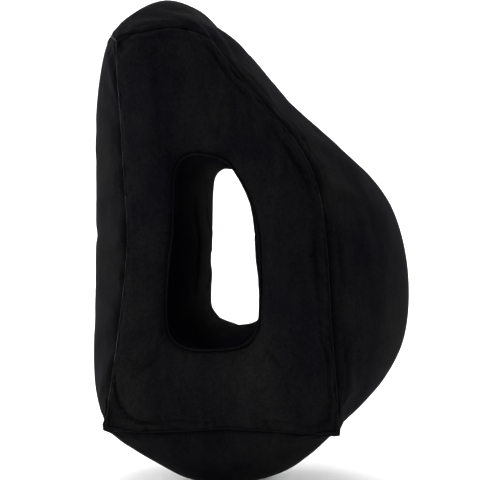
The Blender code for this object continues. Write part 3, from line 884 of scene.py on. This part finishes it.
def cap_outline(angle, radius, y):
    """The cap's round edge, drawn out into a finger tab below it."""
    down = turn_from(angle, TAB_DOWN)
    side_angle = math.atan2(TAB_HALF, TAB_END)
    if radius < CAP_R * 0.9 or y < 0.0002:
        return radius, y
    share = 1 - ramp(abs(down), side_angle * 0.85, side_angle * 1.75)
    end = TAB_END / max(math.cos(down), 0.5)
    grown = radius + share * (end - CAP_R) * (radius / CAP_R)
    grip = GRIP_RISE * share * (1 + math.sin(grown * 2 * math.pi / GRIP_STEP)) if y > 0.0015 else 0.0
    return grown, y + grip - GRIP_RISE * share


def valve():
    axis, hinge = (VALVE_X, VALVE_FACE_Y, VALVE_Z), (VALVE_X, HINGE_Y, VALVE_Z)
    for name, outline, radius, centre, material, body, node, slot, reach in (
            ("valve_body", DISC, 0.3, axis, VINYL, "shell", "valve_base", "soft_vinyl", None),
            ("plug_body", PLUG, 0.35, axis, PLASTIC, "plug", "valve_plug", "valve_plastic", scalloped),
            ("flap_disc", FLAP, 0.2, axis, RUBBER, "flap", "check_flap", "flap_rubber", None),
            ("flap_pin", STEM, 0, axis, RUBBER, "flap", "flap_stem", "flap_rubber", None),
            ("cap_lid", CAP, 0.3, hinge, PLASTIC, "cap", "valve_cap", "valve_plastic", cap_outline)):
        profile = np.array(outline) / 1000
        if radius:
            profile = rounded(profile, radius / 1000)
        turned_piece(name, profile, centre, material, body, node, slot, reach)
    cap_tether()
    hinge_film()


TETHER_SIZE, TETHER_BEVEL = (0.0062, 0.0015, 0.0026), 0.0005


def cap_tether():
    """The block on the plug that carries the cap's hinge."""
    shape = bmesh.new()
    bmesh.ops.create_cube(shape, size=1.0)
    for vertex in shape.verts:
        vertex.co = [value * side for value, side in zip(vertex.co, TETHER_SIZE)]
    bmesh.ops.bevel(shape, geom=shape.edges[:], offset=TETHER_BEVEL, segments=4, profile=0.5, affect="EDGES")
    solid_piece("cap_tether", shape, VINYL, "plug", "cap_strap", "soft_vinyl",
                (VALVE_X, VALVE_FACE_Y + 0.0061, VALVE_Z + 0.0133))


HINGE_WIDTH, HINGE_TOP, HINGE_HEIGHT, HINGE_FILM = 0.0052, 0.0014, 0.0040, 0.0003887


def hinge_film():
    """The thin web between the tether and the cap, which is the cap's hinge, made as a flat strip."""
    y, z = HINGE_Y + 0.0002, VALVE_Z + HINGE_OUT
    shape = bmesh.new()
    bmesh.ops.create_grid(shape, x_segments=6, y_segments=8, size=0.5)
    for vertex in shape.verts:
        up = HINGE_TOP - HINGE_HEIGHT * (vertex.co.y + 0.5)
        vertex.co = (VALVE_X + HINGE_WIDTH * vertex.co.x, y, z + up)
    obj = linked("cap_hinge_film", mesh_from(shape, "cap_hinge_film"))
    obj.data.materials.append(VINYL)
    thickened(obj, HINGE_FILM)
    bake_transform(obj)


def inner_pieces():
    """CAD nodes whose shape is right as it is: they only take a finer material."""
    for node in ("back_web_left", "back_web_right", "slope_web", "stem_guide"):
        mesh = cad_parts[node].data
        mesh.materials.clear()
        mesh.materials.append(PLASTIC if node == "stem_guide" else BARE)


# ---- Cushion ----
RIBBON = np.linspace(0, 1, 7)  # across a weld, from its inner to its outer edge
HANDS = (("right", -1), ("left", 1))


def ring_weld(name, line, out, inner, reach, y, node):
    """Weld ribbon along a closed line, from just inside it to its reach outside it."""
    across = -inner + (reach[:, None] + inner) * RIBBON
    spot = line[:, None] + out[:, None] * across[:, :, None]
    points = np.stack((spot[:, :, 0], np.broadcast_to(y, across.shape), spot[:, :, 1]), axis=2)
    weld(name, points, True, node, WELD)


def side_weld(hand, side):
    """Flange round a side seam: a squeezed double line that ripples, with ears at the bottom corners."""
    reach = np.full(COLUMNS, FLANGE_REACH)
    for name, ear in EAR_REACH.items():
        reach += ear * bell(norm(SEAM - SEAM[FIRST[name]], axis=1), 0.008)
    reach *= 1 + 0.10 * waves(SEAM_AT, SEAM_LENGTH, 0.02)
    ripple = 0.0004 * waves(SEAM_AT, SEAM_LENGTH, 0.013)
    emboss = 0.0002 * np.sin(RIBBON * math.pi * 2.5) ** 2
    ring_weld("weld_side_" + hand, SEAM, SEAM_NORMAL, 0.0008, reach,
              side * (HALF_WIDTH + ripple[:, None] * RIBBON + emboss), "side_seam_" + hand)


def mouth_weld(hand, side):
    """Flat ring on the side panel round the tunnel mouth, with a raised line near its outer edge."""
    emboss = 0.00025 * np.sin(RIBBON * math.pi * 1.9) ** 2
    reach = RIM_REACH * (1 + 0.10 * waves(SEAM_AT, SEAM_LENGTH, 0.03))
    ring_weld("weld_tunnel_" + hand, MOUTH, RAY, 0.0005, reach, side * (HALF_WIDTH + 0.00055 + emboss),
              "tunnel_seam_" + hand)


def cross_weld(name, base, normal, node):
    """Low weld where two wall strips meet, following the film from side seam to side seam."""
    out = normal * np.array((1, 0, 1))
    out /= norm(out, axis=1)[:, None]
    rows = np.arange(len(base))
    taper = np.sin(np.linspace(0.03, 0.97, len(base)) * math.pi) ** 0.3
    reach = np.array((-0.0014, -0.0002, 0.5 * CROSS_REACH, CROSS_REACH))
    wobble = 1 + 0.12 * np.sin(rows * 1.7) * np.sin(rows * 0.43)
    points = base[:, None] + out[:, None] * (reach[None] * (taper * wobble)[:, None])[:, :, None]
    points[:, :, 2] = np.maximum(points[:, :, 2], 0.0005)
    weld(name, points, False, node, WELD)


def web_line(name, surface, normal, columns, y, material, width, lift):
    """Pressed line where an inner web is welded to the film: a narrow ribbon on the surface."""
    points = np.empty((len(columns), 4, 3))
    for index, column in enumerate(columns):
        order = np.argsort(surface[column, :, 1])
        rows, out = surface[column, order], normal[column, order]
        for place, offset in enumerate(np.linspace(-0.5, 0.5, 4) * width):
            points[index, place] = [np.interp(y + offset, rows[:, 1], rows[:, axis] + lift * out[:, axis])
                                    for axis in range(3)]
    weld(name, points, False, None, material, WEB_LINE_FILM)


def column_range(mask):
    """The columns in a mask as one run, across the grid's join where it must."""
    found = np.flatnonzero(mask)
    gaps = np.flatnonzero(np.diff(found) > 1)
    return found if not len(gaps) else np.concatenate((found[gaps[0] + 1:], found[:gaps[0] + 1]))


def cushion():
    points = bladder_surface()
    points = points + cloth_detail(points)
    height = relief(points)
    height[:, WELDED_ROWS] = 0
    points = points + grid_normals(points) * height[:, :, None]
    points[:, :, 2] = np.maximum(points[:, :, 2], 0.0001)
    normal = grid_normals(points)
    # Painted shade: darker colour beside the welds and in the folds and hollows, handed to the films below.
    pressed = groove_shading(points, height)

    for name in SECTIONS:
        span = (FIRST[name] + np.arange(len(PLACES[name]))) % COLUMNS
        film("film_" + name, points[span, WALL], False, name + "_panel", FLOCK, pressed=pressed[span, WALL])
    rows = np.arange(RIGHT_MOUTH, LOOP_ROWS + 1) % LOOP_ROWS
    film("film_side_right", points[:, rows], True, "side_panel_right", FLOCK, pressed=pressed[:, rows])
    rows = np.arange(LEFT_SEAM, LEFT_MOUTH + 1)
    film("film_side_left", seat_valve(points[:, rows]), True, "side_panel_left", FLOCK,
         keep=outside_valve_hole, pressed=pressed[:, rows])
    # The tunnel's lining takes the darker copy of the flock: painted shade.
    film("film_tunnel", points[:, SLEEVE], True, "tunnel_sleeve", FLOCK_SHADED)
    for hand, side in HANDS:
        side_weld(hand, side)
        mouth_weld(hand, side)
    for name, first in (("top_back", "front"), ("base_front", "base"), ("back_base", "back")):
        column = FIRST[first]
        cross_weld("weld_" + name, points[column, WALL], normal[column, WALL], name + "_seam")

    low, high = WEB_Z
    wall, sleeve = (points[:, WALL], normal[:, WALL]), (points[:, SLEEVE], normal[:, SLEEVE])
    wall_z, sleeve_z = points[:, STRIP_ROWS // 2, 2], points[:, LEFT_MOUTH + SLEEVE_ROWS // 2, 2]
    on_back = column_range((np.arange(COLUMNS) > FIRST["back"]) & (wall_z > low) & (wall_z < high))
    in_tunnel = column_range((np.abs(COLUMN_ANGLE) > WEB_ANGLE) & (sleeve_z > low) & (sleeve_z < high))
    starts, ends = SLOPE_WEB_SPAN
    slope = FIRST["front"] + np.flatnonzero((PLACES["front"] > starts) & (PLACES["front"] < ends))
    for hand, side in HANDS:
        web_line("weld_web_back_" + hand, *wall, on_back, side * WEB_Y, WELD, 0.0024, 0.0001)
        # The tunnel's web lines take the same darker copy of the flock: painted shade.
        web_line("weld_web_tunnel_" + hand, *sleeve, in_tunnel, side * WEB_Y, FLOCK_SHADED, 0.0032, 0.00015)
    web_line("weld_web_slope", *wall, slope, 0.0, WELD, 0.0024, 0.0001)


# ---- Stage, light, camera ----
def stage():
    """Pale floor that curves up into a backdrop behind the cushion."""
    width, front, back, radius, height = 9.0, -4.0, 2.4, 1.2, 4.0
    profile = [(front, 0.0), (back - radius, 0.0)]
    profile += [(back - radius + radius * math.sin(a), radius - radius * math.cos(a))
                for a in np.linspace(0.1, math.pi / 2, 14)]
    profile.append((back, height))
    points = np.array([[(x, y, z) for y, z in profile] for x in (-width / 2, width / 2)])
    obj = linked("stage_sweep", grid_mesh("stage_sweep", points, False))
    material, tree, surface = node_material("stage_paper")
    feed(tree, surface, {"Base Color": (0.86, 0.86, 0.86, 1), "Roughness": 0.9})
    obj.data.materials.append(material)


def aimed(obj, place, target):
    obj.location = place
    obj.rotation_euler = (Vector(target) - Vector(place)).to_track_quat("-Z", "Y").to_euler()


WORLD_STRENGTH = 0.6
MIDDLE = (0, 0, 0.26)
LIGHTS = (  # name, place, aimed at, size, power
    ("top_soft", (0.1, -0.2, 2.2), MIDDLE, 2.2, 8),
    ("key_left", (-1.9, -1.3, 1.3), MIDDLE, 1.4, 44),
    ("rim_left", (-1.7, 0.9, 0.6), MIDDLE, 1.2, 42),
    ("rim_right", (1.7, 0.9, 0.9), MIDDLE, 1.2, 42),
    ("backdrop_wash", (0, 0.6, 2.6), (0, 2.3, 0.6), 2.4, 60),
)


def lights():
    world = bpy.data.worlds.new("studio")
    scene.world = world
    world.use_nodes = True
    feed(world.node_tree, world.node_tree.nodes["Background"],
         {"Color": (1, 1, 1, 1), "Strength": WORLD_STRENGTH})
    scene.view_settings.view_transform = "Standard"
    for name, place, target, size, power in LIGHTS:
        lamp = bpy.data.lights.new(name, "AREA")
        lamp.shape = "SQUARE"
        lamp.size = size
        lamp.energy = power
        aimed(linked(name, lamp), place, target)


def camera():
    """The cushion's right side, from slightly in front of it and slightly above its middle."""
    lens = bpy.data.cameras.new("camera")
    lens.lens = 98.143
    lens.sensor_width = 36
    obj = linked("camera", lens)
    aimed(obj, (0.16775, -1.40969, 0.27616), (-0.010, 0.0, 0.260))
    scene.camera = obj


camera()
stage()
lights()
cushion()
valve()
inner_pieces()
